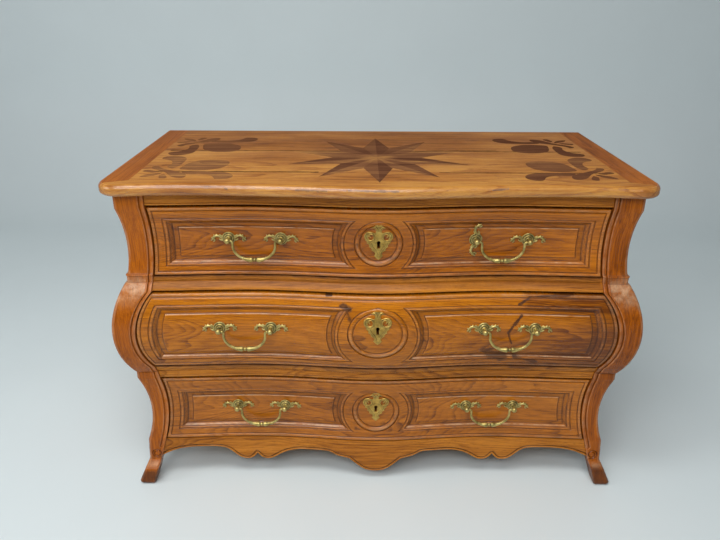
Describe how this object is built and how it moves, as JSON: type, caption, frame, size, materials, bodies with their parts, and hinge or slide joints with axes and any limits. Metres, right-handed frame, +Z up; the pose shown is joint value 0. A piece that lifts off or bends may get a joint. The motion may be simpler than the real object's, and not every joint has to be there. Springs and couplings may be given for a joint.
{
  "type": "bombe chest of drawers",
  "caption": "Serpentine bombe chest with sliding drawers, moulded panel fronts, brass drop handles, scrolled feet and a star-inlaid top.",
  "frame": {"origin": "on the floor under the middle of the top board", "axes": "+X to the right along the front, +Y from the drawers to the back, +Z up"},
  "size_m": [1.312, 0.65, 0.85],
  "materials": {
    "wood_case": "waxed honey-brown fruitwood, satin",
    "wood_top": "worn waxed honey-brown planks, satin",
    "wood_inlay": "dark and pale let-in veneer, waxed",
    "wood_inner": "unfinished softwood, matt",
    "brass": "cast brass, dulled and greenish",
    "lock_iron": "blackened iron"
  },
  "bodies": {
    "carcass": {"apron": "wood_case", "back_boards": "wood_inner", "dust_board": "wood_inner", "inlay_flowers": "wood_inlay", "inlay_star": "wood_inlay", "rail_frieze": "wood_case", "rail_lower": "wood_case", "rail_upper": "wood_case", "rear_rails": "wood_inner", "runners_high": "wood_inner", "runners_low": "wood_inner", "runners_mid": "wood_inner", "side_panel_left": "wood_case", "side_panel_right": "wood_case", "stile_front_left": "wood_case", "stile_front_right": "wood_case", "stile_rear_left": "wood_case", "stile_rear_right": "wood_case", "top_end_left": "wood_top", "top_end_right": "wood_top", "top_plank_front": "wood_top", "top_plank_middle": "wood_top", "top_plank_rear": "wood_top"},
    "drawer_high": {"drawer_high_back": "wood_inner", "drawer_high_bottom": "wood_inner", "drawer_high_front": "wood_case", "drawer_high_side_left": "wood_inner", "drawer_high_side_right": "wood_inner", "posts_high": "brass", "rosettes_high": "brass", "key_plate_high": "brass", "lock_case_high": "lock_iron"},
    "bolt_high": {"lock_bolt_high": "lock_iron"},
    "bail_high_left": {"bail_high_left": "brass"},
    "bail_high_right": {"bail_high_right": "brass"},
    "drawer_mid": {"drawer_mid_back": "wood_inner", "drawer_mid_bottom": "wood_inner", "drawer_mid_front": "wood_case", "drawer_mid_side_left": "wood_inner", "drawer_mid_side_right": "wood_inner", "posts_mid": "brass", "rosettes_mid": "brass", "key_plate_mid": "brass", "lock_case_mid": "lock_iron"},
    "bolt_mid": {"lock_bolt_mid": "lock_iron"},
    "bail_mid_left": {"bail_mid_left": "brass"},
    "bail_mid_right": {"bail_mid_right": "brass"},
    "drawer_low": {"drawer_low_back": "wood_inner", "drawer_low_bottom": "wood_inner", "drawer_low_front": "wood_case", "drawer_low_side_left": "wood_inner", "drawer_low_side_right": "wood_inner", "posts_low": "brass", "rosettes_low": "brass", "key_plate_low": "brass", "lock_case_low": "lock_iron"},
    "bolt_low": {"lock_bolt_low": "lock_iron"},
    "bail_low_left": {"bail_low_left": "brass"},
    "bail_low_right": {"bail_low_right": "brass"}
  },
  "joints": [
    {"name": "drawer_high_slide", "type": "slide", "parent": "carcass", "child": "drawer_high", "axis": [0, -1, 0], "range_m": [0, 0.36]},
    {"name": "bail_high_left_swing", "type": "hinge", "parent": "drawer_high", "child": "bail_high_left", "pos_m": [-0.299, -0.26883, 0.703], "axis": [-1, 0, 0], "range_deg": [0, 165]},
    {"name": "bail_high_right_swing", "type": "hinge", "parent": "drawer_high", "child": "bail_high_right", "pos_m": [0.299, -0.26883, 0.703], "axis": [-1, 0, 0], "range_deg": [0, 165]},
    {"name": "bolt_high_slide", "type": "slide", "parent": "drawer_high", "child": "bolt_high", "axis": [0, 0, 1], "range_m": [0, 0.016]},
    {"name": "drawer_mid_slide", "type": "slide", "parent": "carcass", "child": "drawer_mid", "axis": [0, -1, 0], "range_m": [0, 0.36]},
    {"name": "bail_mid_left_swing", "type": "hinge", "parent": "drawer_mid", "child": "bail_mid_left", "pos_m": [-0.328, -0.31768, 0.484], "axis": [-1, 0, 0], "range_deg": [0, 165]},
    {"name": "bail_mid_right_swing", "type": "hinge", "parent": "drawer_mid", "child": "bail_mid_right", "pos_m": [0.328, -0.31768, 0.484], "axis": [-1, 0, 0], "range_deg": [0, 165]},
    {"name": "bolt_mid_slide", "type": "slide", "parent": "drawer_mid", "child": "bolt_mid", "axis": [0, 0, 1], "range_m": [0, 0.016]},
    {"name": "drawer_low_slide", "type": "slide", "parent": "carcass", "child": "drawer_low", "axis": [0, -1, 0], "range_m": [0, 0.36]},
    {"name": "bail_low_left_swing", "type": "hinge", "parent": "drawer_low", "child": "bail_low_left", "pos_m": [-0.307, -0.27238, 0.226], "axis": [-1, 0, 0], "range_deg": [0, 165]},
    {"name": "bail_low_right_swing", "type": "hinge", "parent": "drawer_low", "child": "bail_low_right", "pos_m": [0.307, -0.27238, 0.226], "axis": [-1, 0, 0], "range_deg": [0, 165]},
    {"name": "bolt_low_slide", "type": "slide", "parent": "drawer_low", "child": "bolt_low", "axis": [0, 0, 1], "range_m": [0, 0.016]}
  ]
}
